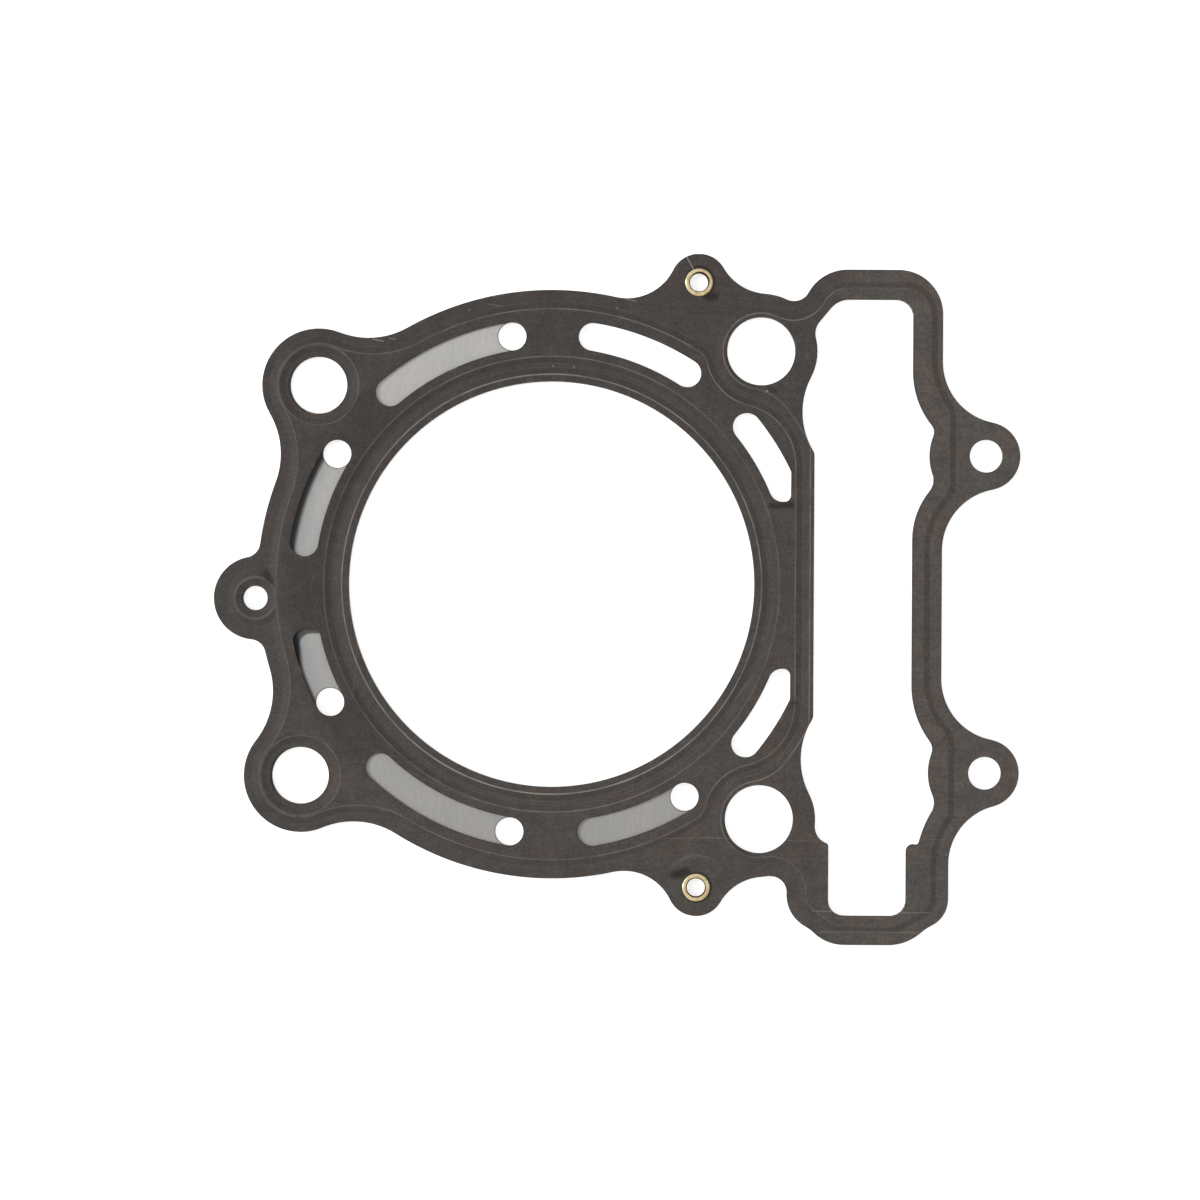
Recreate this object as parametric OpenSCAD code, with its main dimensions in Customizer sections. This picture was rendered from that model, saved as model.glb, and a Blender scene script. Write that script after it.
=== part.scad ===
// Cylinder head gasket of a small liquid-cooled engine, built as a stack of three steel sheets.
// The origin is the bore centre in the middle of the core sheet, +X points to the chain tunnel.
// The two coated outer sheets stand off the core on plateaus, and their beads are pressed down to it.

/* [Bore] */
// Diameter of the hole for the cylinder bore
bore_d = 78; // [77:0.5:79]
// Flat lip between the bore hole and the combustion bead
lip_w = 1.4; // [1.2:0.1:1.6]
// Width of the combustion bead, from edge to edge
bead_w = 3.4; // [3.2:0.1:3.6]

/* [Sheets] */
// Thickness of each coated outer sheet
sheet_t = 0.25; // [0.2:0.05:0.3]
// Thickness of the bare core sheet
core_t = 0.5; // [0.3:0.1:0.8]
// Height of the plateaus above the beads
bead_h = 0.25; // [0.2:0.05:0.35]
// Width of the slope from a plateau down to a bead
slope_w = 1.3; // [1.1:0.1:1.35]
// How far the outer, tunnel and slot edges of the core sheet stay behind those of the outer sheets
core_setback = 0.1; // [0:0.05:0.2]

/* [Coolant slots] */
// Width of the plateau between the combustion bead and the slots
seal_w = 1.73; // [1.6:0.01:1.9]
// Width of the slots
slot_w = 5.45; // [5.3:0.05:5.6]
// Diameter of the metering holes in the core sheet
metering_d = 5.4; // [5:0.1:5.4]
// Distance from the straight side of the slots next to the tunnel to its wall
slot_to_tunnel = 4.4; // [4.3:0.01:4.5]
// Height of the flat end of these slots above the bore centre
slot_end_y = 16.05; // [15.8:0.05:16.3]

/* [Ring] */
// Width of the ring outside the slots
ring_wall_w = 5.62; // [5.4:0.01:5.8]
// Width of the low rim and its slope, from the outer edge to the plateau
rim_w = 3.6; // [3.4:0.1:3.8]
// Fillet between the ring and the left stud bosses
boss_fillet = 15.4; // [14:0.2:17]
// Fillet beside the eyelet tabs
tab_fillet = 9.95; // [9:0.05:10.5]

/* [Left studs] */
// Diameter of the left stud holes
left_stud_d = 10.9; // [10.4:0.1:11.4]
// Radius of the left stud bosses
left_boss_r = 10.9; // [10.6:0.1:11.2]
// Radius of the raised ring round each left stud hole
left_crest_r = 8.05; // [7.9:0.05:8.2]
// Direction of the upper left stud, seen from the bore
upper_left_angle = 139.75; // [139.5:0.05:140]
// Distance of the upper left stud outside the edge of the ring
upper_left_out = 2.3; // [2:0.1:2.6]
// Direction of the lower left stud, seen from the bore
lower_left_angle = 217.57; // [217.3:0.01:217.8]
// Distance of the lower left stud outside the edge of the ring
lower_left_out = 4.1; // [3.8:0.1:4.4]

/* [Right studs] */
// Diameter of the right stud holes
right_stud_d = 13.1; // [12.8:0.1:13.3]
// Distance of the right studs from the tunnel wall
stud_to_tunnel = 10.33; // [10.2:0.01:10.5]
// Distance of the right studs outside the edge of the ring
right_stud_out = 3.675; // [3.5:0.025:3.8]
// Radius of the outer edge round the right studs
right_boss_r = 11.1; // [10.9:0.1:11.2]
// Radius of the tunnel side edge round the right studs
stud_scallop_r = 10.8; // [10.6:0.1:11]
// Radius of the tunnel plateau round the right stud holes
stud_lip_r = 7.35; // [7.2:0.05:7.5]
// Radius at which the coolant plateau passes the right studs
stud_clear_r = 10.65; // [10.5:0.05:10.8]

/* [Left tab] */
// Diameter of the hole in the left tab
left_hole_d = 4.65; // [4.4:0.05:4.9]
// How far this hole lies outside the left edge of the ring
left_tab_out = 0.35; // [0.2:0.05:0.5]
// How far this hole lies below the bore centre
left_tab_drop = 2.95; // [2.5:0.05:3.5]
// Radius of the left tab
left_tab_r = 8; // [7.8:0.1:8.3]
// Radius of the raised ring round the left tab hole
left_ring_r = 4; // [3.9:0.05:4.1]

/* [Eyelets] */
// Direction of the eyelets, up and down from the line between bore and tunnel
eyelet_angle = 64.27; // [64:0.01:64.5]
// Distance of the eyelets outside the edge of the ring
eyelet_out = 8; // [7.9:0.05:8.2]
// Radius of the eyelet tabs
eyelet_tab_r = 5.5; // [5.3:0.1:5.7]
// Inner diameter of an eyelet
eyelet_bore_d = 3.5; // [3.3:0.1:3.6]
// Wall of an eyelet
eyelet_wall = 0.35; // [0.3:0.05:0.4]
// Outer diameter of the rolled flanges
eyelet_flange_d = 5.3; // [5.1:0.1:5.6]
// Clearance of an eyelet in the sheets
eyelet_clearance = 0.05; // [0.02:0.01:0.08]

/* [Bolt tabs] */
// Diameter of the two bolt holes beside the tunnel
bolt_d = 6.3; // [6:0.1:6.6]
// Distance of the bolt holes outside the right edge of the frame
bolt_out = 8.4; // [8.2:0.05:8.6]
// How far the upper bolt hole lies below the upper right stud
upper_bolt_drop = 19.95; // [19.7:0.05:20.2]
// How far the lower bolt hole lies above the lower right stud
lower_bolt_rise = 9.05; // [8.8:0.05:9.3]
// Radius of the bolt tabs
bolt_tab_r = 6.57; // [6.4:0.01:6.7]

/* [Tunnel frame] */
// Width of the bridge between the bore hole and the tunnel
bridge_w = 11.43; // [11.3:0.01:11.6]
// Width of the chain tunnel
tunnel_w = 18.97; // [18.8:0.01:19.1]
// How far the tunnel goes on above the upper right stud
tunnel_above = 10.1; // [9.8:0.1:10.4]
// How far the tunnel goes on below the lower right stud
tunnel_below = 18.55; // [18.3:0.05:18.8]
// How far the notch at the bottom of the tunnel is narrower on the left
notch_left_in = 3.04; // [2.9:0.01:3.2]
// How far the notch at the bottom of the tunnel is narrower on the right
notch_right_in = 0.94; // [0.85:0.01:1.05]
// Width of the frame right of the tunnel
frame_side_w = 5.65; // [5.5:0.05:5.8]
// Extra width of the frame at its lower right end
frame_side_extra = 1.52; // [1.4:0.01:1.6]
// Width of the frame above the tunnel
frame_top_w = 5.7; // [5.5:0.1:6]
// Width of the frame below the tunnel
frame_bottom_w = 5.55; // [5.3:0.05:5.8]
// Width of the bead in the wall between the slots and the tunnel
bridge_bead_w = 2.75; // [2.72:0.01:2.85]
// Flat lip between that bead and the tunnel
bridge_lip_w = 0.8; // [0.7:0.05:0.9]

/* [Hidden] */
$fn = 96;

// How far an outline made of straight pieces may stray from its arcs, also for the slots
chord_error = 0.1;
slot_error = 0.03;
// Largest angle between two points of an arc
arc_step = 20;
// Arcs with a smaller radius than this get as many points as an arc of this radius
least_arc_r = 1;
// Extra length of a cut past the faces that it goes through
past = 1;
// Depth to which a plateau is rooted in its sheet
root = 0.1;
// Width of the level part of the band round a plateau
level_w = 0.4;
// Number of sides of the small round plateaus and hollows
round_sides = 30;

cut_h = core_t + sheet_t + bead_h + 2 * past;
// Width of the crest between the low rim and the hollow round a left stud hole
crest_w = 0.35;
// Width of the crest of the ring round the left tab hole
ring_crest_w = 0.25;
// Rounding of the rolled flanges
flange_round = 0.16;

// The flanges end flush with the plateaus
eyelet_flange_h = bead_h;

eyelet_hole_r = eyelet_bore_d / 2 + eyelet_wall + eyelet_clearance;
top_of_core = core_t / 2;

// Radii round the bore, from the inside out
bore_r = bore_d / 2;
lip_r = bore_r + lip_w;
field_r = lip_r + bead_w;
slot_circle_r = field_r + seal_w + slot_w / 2;
ring_r = slot_circle_r + slot_w / 2 + ring_wall_w;

// Walls of the tunnel and the frame, and the places of the studs and bolts beside them
tunnel_left = bore_r + bridge_w;
tunnel_right = tunnel_left + tunnel_w;
right_stud_x = tunnel_left - stud_to_tunnel;
right_stud_y = sqrt(pow(ring_r + right_stud_out, 2) - pow(right_stud_x, 2));
tunnel_top = right_stud_y + tunnel_above;
tunnel_bottom = right_stud_y + tunnel_below;
notch_left = tunnel_left + notch_left_in;
notch_right = tunnel_right - notch_right_in;
frame_right = tunnel_right + frame_side_w;
frame_right_low = frame_right + frame_side_extra;
frame_top = tunnel_top + frame_top_w;
frame_bottom = tunnel_bottom + frame_bottom_w;
bolt_x = frame_right + bolt_out;
upper_bolt_y = right_stud_y - upper_bolt_drop;
lower_bolt_y = right_stud_y - lower_bolt_rise;
slot_side_x = tunnel_left - slot_to_tunnel;

// A circle is [x, y, r]. A closed outline runs counter-clockwise from circle to circle: round
// the ones with a positive radius with its inside towards the centre, round the ones with a
// negative radius with its inside away from the centre.

function limit(v) = max(-1, min(1, v));
function way_round(angle) = angle - 360 * floor(angle / 360);
function point(c, angle, grow) = [c[0] + (c[2] + grow) * cos(angle), c[1] + (c[2] + grow) * sin(angle)];

// Direction from the centres to the line that touches circle a and then circle b
function side_of(a, b) =
    let (across = b[0] - a[0], up = b[1] - a[1])
    atan2(up, across) - acos(limit((a[2] - b[2]) / norm([across, up])));

// Circle of radius r that touches circles a and b, to the right (-1) or left (1) of the way from a to b
function touching(a, b, r, side = -1) =
    let (
        across = b[0] - a[0],
        up = b[1] - a[1],
        far = norm([across, up]),
        from_a = a[2] - r,
        from_b = b[2] - r,
        along = (far * far + from_a * from_a - from_b * from_b) / (2 * far),
        off = side * sqrt(from_a * from_a - along * along)
    )
    [a[0] + (along * across - off * up) / far, a[1] + (along * up + off * across) / far, r];

// Circle of radius r that touches circle a and an upright wall at x; face is 1 where the inside lies
// to the left of the wall and -1 where it lies to the right, and up is 1 above circle a and -1 below it
function at_wall(a, x, face, r, up) =
    let (cx = x - face * r, far = a[2] - r)
    [cx, a[1] + up * sqrt(far * far - (cx - a[0]) * (cx - a[0])), r];

// Circle of radius r that touches circle a in the given direction from its centre
function against(a, r, angle) =
    let (far = abs(a[2] - r))
    [a[0] + far * cos(angle), a[1] + far * sin(angle), r];

// Circle of radius r that touches circle a and a level line at y; face is 1 where the inside lies
// below the line and -1 where it lies above, and across is 1 right of circle a and -1 left of it
function at_level(a, y, face, r, across) =
    let (cy = y - face * r, far = a[2] - r)
    [a[0] + across * sqrt(far * far - (cy - a[1]) * (cy - a[1])), cy, r];

// Circles of an outline, from a list of [circle, fillet to the next one]; a fillet of 0 is a straight
// line, and a negative fillet is a rounded corner
function outline(stops) =
    [for (i = [0:len(stops) - 1])
        let (a = stops[i][0], b = stops[(i + 1) % len(stops)][0], fillet = stops[i][1])
        for (c = fillet == 0 ? [a] : [a, touching(a, b, -fillet, fillet > 0 ? -1 : 1)]) c];

// Points along an outline, moved outwards by grow; every value of grow gives as many points
function loop(circles, grow = 0, error = chord_error) =
    [for (i = [0:len(circles) - 1])
        let (
            last = len(circles) - 1,
            before = circles[i == 0 ? last : i - 1],
            c = circles[i],
            after = circles[i == last ? 0 : i + 1],
            start = side_of(before, c),
            end = side_of(c, after),
            sweep = c[2] > 0 ? way_round(end - start) : -way_round(start - end),
            step = min(arc_step, 2 * acos(1 - error / max(abs(c[2]), least_arc_r))),
            parts = max(1, ceil(abs(sweep) / step)),
            straight = norm(point(c, end, 0) - point(after, end, 0)) > chord_error
        )
        for (k = [0:straight ? parts : parts - 1])
            point(c, start + sweep * k / parts, grow)];

// Circle of radius r whose centre lies outside the ring in the given direction
function beside_ring(angle, out, r) = [(ring_r + out) * cos(angle), (ring_r + out) * sin(angle), r];

// Circle with the same centre and another radius
function resized(c, r) = [c[0], c[1], r];

// The places that the gasket fits round
ring = [0, 0, ring_r];
upper_left = beside_ring(upper_left_angle, upper_left_out, left_boss_r);
lower_left = beside_ring(lower_left_angle, lower_left_out, left_boss_r);
upper_right = [right_stud_x, right_stud_y, right_boss_r];
lower_right = [right_stud_x, -right_stud_y, right_boss_r];
left_tab = [-ring_r - left_tab_out, -left_tab_drop, left_tab_r];
upper_tab = beside_ring(eyelet_angle, eyelet_out, eyelet_tab_r);
lower_tab = beside_ring(-eyelet_angle, eyelet_out, eyelet_tab_r);
upper_bolt = [bolt_x, upper_bolt_y, bolt_tab_r];
lower_bolt = [bolt_x, -lower_bolt_y, bolt_tab_r];

// Outer outline
left_tab_fillet = 3;
crook_fillet = 3.25;
bolt_fillet = 11.9;
low_bolt_fillet = 11.55;
bevel_fillet = 9;
top_corner_r = 8.6;
top_left_in = 6.24;
top_right = [frame_right - top_corner_r, frame_top - top_corner_r, top_corner_r];
top_left = [tunnel_left + top_left_in, frame_top - top_corner_r, top_corner_r];
// Each bottom corner has two radii, with a short bevel between them
left_side_in = 1.81;
left_side_up = 9.44;
left_side_r = 6.7;
left_foot_in = 6.07;
left_foot_r = 8.3;
right_foot_in = 4.4;
right_foot_r = 9.6;
right_side_up = 8.9;
right_side_r = 5.7;
bottom_left_side = [tunnel_left + left_side_in, left_side_up - frame_bottom, left_side_r];
bottom_left_foot = [tunnel_left + left_foot_in, left_foot_r - frame_bottom, left_foot_r];
bottom_right_foot = [tunnel_right - right_foot_in, right_foot_r - frame_bottom, right_foot_r];
bottom_right_side = [frame_right_low - right_side_r, right_side_up - frame_bottom, right_side_r];
below_lower_bolt = at_wall(lower_bolt, frame_right_low, 1, -low_bolt_fillet, -1);
above_lower_bolt = at_wall(lower_bolt, frame_right, 1, -bolt_fillet, 1);
below_upper_bolt = at_wall(upper_bolt, frame_right, 1, -bolt_fillet, -1);
above_upper_bolt = at_wall(upper_bolt, frame_right, 1, -bolt_fillet, 1);

outer_edge = outline([
    [left_tab, left_tab_fillet],
    [ring, boss_fillet],
    [lower_left, boss_fillet],
    [ring, tab_fillet],
    [lower_tab, tab_fillet],
    [lower_right, crook_fillet],
    [bottom_left_side, bevel_fillet],
    [bottom_left_foot, 0],
    [bottom_right_foot, bevel_fillet],
    [bottom_right_side, 0],
    [below_lower_bolt, 0],
    [lower_bolt, 0],
    [above_lower_bolt, 0],
    [below_upper_bolt, 0],
    [upper_bolt, 0],
    [above_upper_bolt, 0],
    [top_right, 0],
    [top_left, crook_fillet],
    [upper_right, tab_fillet],
    [upper_tab, tab_fillet],
    [ring, boss_fillet],
    [upper_left, boss_fillet],
    [ring, left_tab_fillet]
]);

// Chain tunnel: it bulges out between the stud scallops and the straight left wall
bulge_reach = 2.35;
bulge_r = 14.5;
bulge_foot_r = 2;
upper_scallop = resized(upper_right, -stud_scallop_r);
lower_scallop = resized(lower_right, -stud_scallop_r);
upper_bulge = at_wall(upper_scallop, tunnel_left - bulge_reach, -1, bulge_r, -1);
lower_bulge = at_wall(lower_scallop, tunnel_left - bulge_reach, -1, bulge_r, 1);
upper_lobe_r = 3.5;
upper_lobe_angle = 14;
lower_lobe_r = 3.6;
lower_lobe_angle = -5;
upper_lobe = against(upper_scallop, upper_lobe_r, upper_lobe_angle);
lower_lobe = against(lower_scallop, lower_lobe_r, lower_lobe_angle);

// Its right wall bulges in between and beside the scallops round the bolts
bolt_scallop_r = 10.8;
upper_bolt_scallop = resized(upper_bolt, -bolt_scallop_r);
lower_bolt_scallop = resized(lower_bolt, -bolt_scallop_r);
above_upper_drop = 3.7;
above_upper_r = 16.45;
below_upper_drop = 16.1;
below_upper_r = 14.95;
above_lower_rise = 16.75;
above_lower_r = 17.85;
below_lower_drop = 10.2;
below_lower_r = 23.2;
below_lower_in = 0.8;
arc_above_upper = [tunnel_right + above_upper_r, right_stud_y - above_upper_drop, -above_upper_r];
arc_below_upper = [tunnel_right + below_upper_r, upper_bolt_y - below_upper_drop, -below_upper_r];
arc_above_lower = [tunnel_right + above_lower_r, above_lower_rise - lower_bolt_y, -above_lower_r];
arc_below_lower =
    [tunnel_right + below_lower_in + below_lower_r, -right_stud_y - below_lower_drop, -below_lower_r];
above_upper_corner_r = 2.1;
below_upper_corner_r = 3.4;
above_lower_corner_r = 2.6;
below_lower_corner_r = 3.6;

// Its ends; the bottom one is a narrow notch with a step on the right
top_left_corner_in = 6.67;
top_left_corner_r = 4.6;
top_right_corner_r = 3.4;
notch_corner_r = 3.1;
notch_foot_r = 0.5;
notch_step_drop = 6.1;
notch_step_r = 1.4;
step_corner_r = 0.6;
step_corner_angle = 165.4;
notch_step = [notch_right + notch_step_r, -right_stud_y - notch_step_drop, -notch_step_r];
step_corner = against(arc_below_lower, step_corner_r, step_corner_angle);

tunnel_edge = outline([
    [[notch_left + notch_corner_r, notch_corner_r - tunnel_bottom, notch_corner_r], 0],
    [[notch_right - notch_corner_r, notch_corner_r - tunnel_bottom, notch_corner_r], 0],
    [notch_step, 0],
    [step_corner, 0],
    [arc_below_lower, -below_lower_corner_r],
    [lower_bolt_scallop, -above_lower_corner_r],
    [arc_above_lower, 0],
    [arc_below_upper, -below_upper_corner_r],
    [upper_bolt_scallop, -above_upper_corner_r],
    [arc_above_upper, 0],
    [[tunnel_right - top_right_corner_r, tunnel_top - top_right_corner_r, top_right_corner_r], 0],
    [[tunnel_left + top_left_corner_in, tunnel_top - top_left_corner_r, top_left_corner_r], 0],
    [upper_lobe, 0],
    [upper_scallop, 0],
    [upper_bulge, 0],
    [at_wall(upper_bulge, tunnel_left, -1, -bulge_foot_r, -1), 0],
    [at_wall(lower_bulge, tunnel_left, -1, -bulge_foot_r, 1), 0],
    [lower_bulge, 0],
    [lower_scallop, 0],
    [lower_lobe, 0],
    [at_wall(lower_lobe, notch_left, -1, -notch_foot_r, -1), 0]
]);

// Edges of the raised plateaus. The coolant plateau runs round the slots, the tunnel plateau
// round the tunnel, and both end in a slope down to the core.
jacket_ring = [0, 0, ring_r - rim_w];
upper_left_crest = resized(upper_left, left_crest_r);
lower_left_crest = resized(lower_left, left_crest_r);
upper_clear = resized(upper_right, -stud_clear_r);
lower_clear = resized(lower_right, -stud_clear_r);
crest_fillet = boss_fillet + rim_w;
jacket_corner_r = 3.5;
bridge_corner_r = 12;
bridge_right = tunnel_left - bridge_lip_w;
bridge_left = bridge_right - bridge_bead_w;
jacket_edge = outline([
    [jacket_ring, crest_fillet],
    [lower_left_crest, crest_fillet],
    [jacket_ring, 0],
    [touching(jacket_ring, lower_clear, jacket_corner_r, -1), 0],
    [lower_clear, 0],
    [at_wall(lower_clear, bridge_left, 1, bridge_corner_r, 1), 0],
    [at_wall(upper_clear, bridge_left, 1, bridge_corner_r, -1), 0],
    [upper_clear, 0],
    [touching(jacket_ring, upper_clear, jacket_corner_r, 1), 0],
    [jacket_ring, crest_fillet],
    [upper_left_crest, crest_fillet]
]);

upper_lip = resized(upper_right, stud_lip_r);
lower_lip = resized(lower_right, stud_lip_r);
ring_bead_w = 3.5;
bridge_ring = [0, 0, -(ring_r - rim_w + ring_bead_w)];
bridge_bend_r = 5;
lip_fillet = 10;
frame_fillet = crook_fillet + rim_w;
bolt_lip_r = 7.15;
frame_bead_x = bolt_x - bolt_lip_r;
frame_bead_corner_r = 4;
upper_rim_w = 2.35;
upper_wall = frame_right - upper_rim_w;
middle_wall = frame_right - rim_w;
lower_wall = frame_right_low - rim_w;
frame_roof = frame_top - rim_w;
frame_floor = rim_w - frame_bottom;
frame_corner_r = 5.1;
floor_left_r = 4.8;
floor_right_r = 5;
floor_side_r = 2.5;
floor_inside_r = 3.1;
high_bend_drop = 1.7;
high_bend_r = 14.3;
low_bend_drop = 8.5;
low_bend_r = 15.2;
middle_bend_drop = 18;
middle_bend_rise = 18.25;
middle_bend_r = 15.4;
high_bend = [upper_wall + high_bend_r, right_stud_y - high_bend_drop, -high_bend_r];
above_middle = [middle_wall + middle_bend_r, upper_bolt_y - middle_bend_drop, -middle_bend_r];
below_middle = [middle_wall + middle_bend_r, middle_bend_rise - lower_bolt_y, -middle_bend_r];
low_bend = [lower_wall + low_bend_r, -right_stud_y - low_bend_drop, -low_bend_r];
frame_edge = outline([
    [[bottom_left_foot[0], frame_floor + floor_left_r, floor_left_r], 0],
    [[bottom_right_foot[0], frame_floor + floor_right_r, floor_right_r], 0],
    [[lower_wall - floor_side_r, bottom_right_side[1], floor_side_r], 0],
    [low_bend, 0],
    [at_wall(low_bend, frame_bead_x, 1, frame_bead_corner_r, 1), 0],
    [at_wall(below_middle, frame_bead_x, 1, frame_bead_corner_r, -1), 0],
    [below_middle, 0],
    [above_middle, 0],
    [at_wall(above_middle, frame_bead_x, 1, frame_bead_corner_r, 1), 0],
    [at_wall(high_bend, frame_bead_x, 1, frame_bead_corner_r, -1), 0],
    [high_bend, 0],
    [[upper_wall - frame_corner_r, frame_roof - frame_corner_r, frame_corner_r], 0],
    [[top_left[0], frame_roof - frame_corner_r, frame_corner_r], frame_fillet],
    [upper_lip, 0],
    [touching(upper_lip, bridge_ring, -lip_fillet, 1), 0],
    [bridge_ring, 0],
    [at_wall(bridge_ring, bridge_right, -1, -bridge_bend_r, 1), 0],
    [at_wall(bridge_ring, bridge_right, -1, -bridge_bend_r, -1), 0],
    [bridge_ring, 0],
    [touching(bridge_ring, lower_lip, -lip_fillet, 1), 0],
    [lower_lip, frame_fillet],
    [[bottom_left_side[0], bottom_left_side[1], floor_inside_r], 0]
]);

// Coolant slots: they follow the slot circle and have round ends, at these angles
open_slot = [57.6, 80.8];
upper_slot = [99.3, 130.4];
left_slot = [149, 170.7];
lower_slot = [227.2, 260.6];
right_slot = [279.5, 302.3];
short_slot_end = 208.3;
tunnel_slot_start = 39.1;
// Two of them have a flat end with small corners
short_slot_top = -8.9;
short_slot_inner_r = 1.2;
short_slot_outer_r = 2.3;
tunnel_slot_inner_r = 2.6;
tunnel_slot_corner_r = 1.4;
tunnel_slot_outer_r = 1;
slot_inside = [0, 0, -(slot_circle_r - slot_w / 2)];
slot_outside = [0, 0, slot_circle_r + slot_w / 2];

// The metering holes in the core sheet lie at one end of these slots
metering_angles = [upper_slot[0], left_slot[0], short_slot_end, lower_slot[1], right_slot[1]];

function slot_end(angle) = [slot_circle_r * cos(angle), slot_circle_r * sin(angle), slot_w / 2];

function long_slot(angles) = [slot_outside, slot_end(angles[1]), slot_inside, slot_end(angles[0])];

short_slot = [
    slot_outside,
    slot_end(short_slot_end),
    slot_inside,
    at_level(slot_inside, short_slot_top, 1, short_slot_inner_r, -1),
    at_level(slot_outside, short_slot_top, 1, short_slot_outer_r, -1)
];

tunnel_slot = [
    at_level(slot_inside, slot_end_y, -1, tunnel_slot_inner_r, 1),
    [slot_side_x - tunnel_slot_corner_r, slot_end_y + tunnel_slot_corner_r, tunnel_slot_corner_r],
    at_wall(slot_outside, slot_side_x, 1, tunnel_slot_outer_r, 1),
    slot_outside,
    slot_end(tunnel_slot_start),
    slot_inside
];

// Plate with the shape of an outline
module plate(circles, thickness, grow = 0) linear_extrude(thickness) polygon(loop(circles, grow));

// Cut with the shape of an outline
module cut(circles, grow = 0, error = slot_error)
    translate([0, 0, -past]) linear_extrude(cut_h) polygon(loop(circles, grow, error));

// Round cut
module drill(x, y, r)
    translate([x, y, -past]) cylinder(r = r, h = cut_h);

// Closed band whose section has the given corners, each as [distance outwards from the edge, height]
module band(circles, section) {
    loops = [for (corner = section) [for (p = loop(circles, corner[0])) [p[0], p[1], corner[1]]]];
    n = len(loops[0]);
    corners = len(section);
    polyhedron(
        points = [for (l = loops) each l],
        faces = [
            for (c = [0:corners - 1])
                for (i = [0:n - 1])
                    let (here = c * n, next = (c + 1) % corners * n, after = (i + 1) % n)
                        [here + i, next + i, next + after, here + after]
        ]
    );
}

// Raised plateau with sloping sides; the sides go on below the plate surface, into the plate
module mesa(circles) {
    band(circles, [
        [slope_w * (1 + root / bead_h), -root],
        [0, bead_h],
        [-level_w, bead_h],
        [-level_w, -root]
    ]);
    translate([0, 0, -root])
        linear_extrude(bead_h + root)
        polygon(loop(circles, -level_w / 2));
}

// Round plateau with a sloping side, round the bore
module bore_lip()
    translate([0, 0, -root])
        cylinder(r1 = lip_r + slope_w * (1 + root / bead_h), r2 = lip_r, h = bead_h + root);

// Opening in a plateau, round the bore, with a side that slopes up to radius field_r
module bore_field() {
    over = 2 * root;
    translate([0, 0, -over])
        cylinder(
            r1 = field_r - slope_w * (1 + over / bead_h),
            r2 = field_r + slope_w * over / bead_h,
            h = bead_h + 2 * over
        );
}

// Small frustum with flat sides, from z = low to z = high
module frustum(x, y, low, low_r, high, high_r) {
    corners = [for (i = [0:round_sides - 1]) [cos(360 * i / round_sides), sin(360 * i / round_sides)]];
    polyhedron(
        points = [
            for (c = corners) [x + low_r * c[0], y + low_r * c[1], low],
            for (c = corners) [x + high_r * c[0], y + high_r * c[1], high]
        ],
        faces = [
            [for (i = [0:round_sides - 1]) i],
            [for (i = [0:round_sides - 1]) 2 * round_sides - 1 - i],
            for (i = [0:round_sides - 1])
                [i, round_sides + i, round_sides + (i + 1) % round_sides, (i + 1) % round_sides]
        ]
    );
}

// Small round plateau whose top has radius r
module mound(x, y, r) frustum(x, y, -root, r + slope_w * (1 + root / bead_h), bead_h, r);

// Small round hollow in a plateau, with a side that slopes up to radius r
module hollow(x, y, r) {
    over = 2 * root;
    rise = slope_w / bead_h;
    frustum(x, y, -over, r - slope_w - rise * over, bead_h + over, r + rise * over);
}

module coolant_plateau()
    difference() {
        mesa(jacket_edge);
        bore_field();
        hollow(upper_left[0], upper_left[1], left_crest_r - crest_w);
        hollow(lower_left[0], lower_left[1], left_crest_r - crest_w);
    }

module left_ring()
    difference() {
        mound(left_tab[0], left_tab[1], left_ring_r + ring_crest_w / 2);
        hollow(left_tab[0], left_tab[1], left_ring_r - ring_crest_w / 2);
    }

// All raised places of an outer sheet, from its plate surface upwards
module plateaus() {
    bore_lip();
    coolant_plateau();
    mesa(frame_edge);
    left_ring();
}

// Openings through all three sheets; grow sets the edges of the tunnel and the slots back
module stack_holes(grow) {
    drill(0, 0, bore_r);
    drill(upper_left[0], upper_left[1], left_stud_d / 2);
    drill(lower_left[0], lower_left[1], left_stud_d / 2);
    drill(upper_right[0], upper_right[1], right_stud_d / 2);
    drill(lower_right[0], lower_right[1], right_stud_d / 2);
    drill(left_tab[0], left_tab[1], left_hole_d / 2);
    drill(upper_bolt[0], upper_bolt[1], bolt_d / 2);
    drill(lower_bolt[0], lower_bolt[1], bolt_d / 2);
    drill(upper_tab[0], upper_tab[1], eyelet_hole_r);
    drill(lower_tab[0], lower_tab[1], eyelet_hole_r);
    cut(tunnel_edge, grow, chord_error);
    cut(long_slot(open_slot), grow);
    cut(tunnel_slot, grow);
    mirror([0, 1, 0]) cut(tunnel_slot, grow);
}

// Slots that only the outer sheets have
module covered_slots() {
    cut(long_slot(upper_slot));
    cut(long_slot(left_slot));
    cut(short_slot);
    cut(long_slot(lower_slot));
    cut(long_slot(right_slot));
}

// A pressed outer sheet, with the side that faces the core at z = 0
module pressed_sheet()
    difference() {
        union() {
            plate(outer_edge, sheet_t);
            translate([0, 0, sheet_t]) plateaus();
        }
        plateaus();
        stack_holes(0);
        covered_slots();
    }

module outer_sheet_top()
    color([0.29, 0.27, 0.26])
    translate([0, 0, top_of_core])
    pressed_sheet();

module outer_sheet_bottom()
    color([0.25, 0.24, 0.23])
    mirror([0, 0, 1])
    translate([0, 0, top_of_core])
    pressed_sheet();

module core_sheet()
    color([0.66, 0.66, 0.67])
    translate([0, 0, -top_of_core])
    difference() {
        plate(outer_edge, core_t, -core_setback);
        stack_holes(core_setback);
        for (angle = metering_angles)
            drill(slot_circle_r * cos(angle), slot_circle_r * sin(angle), metering_d / 2);
    }

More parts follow.
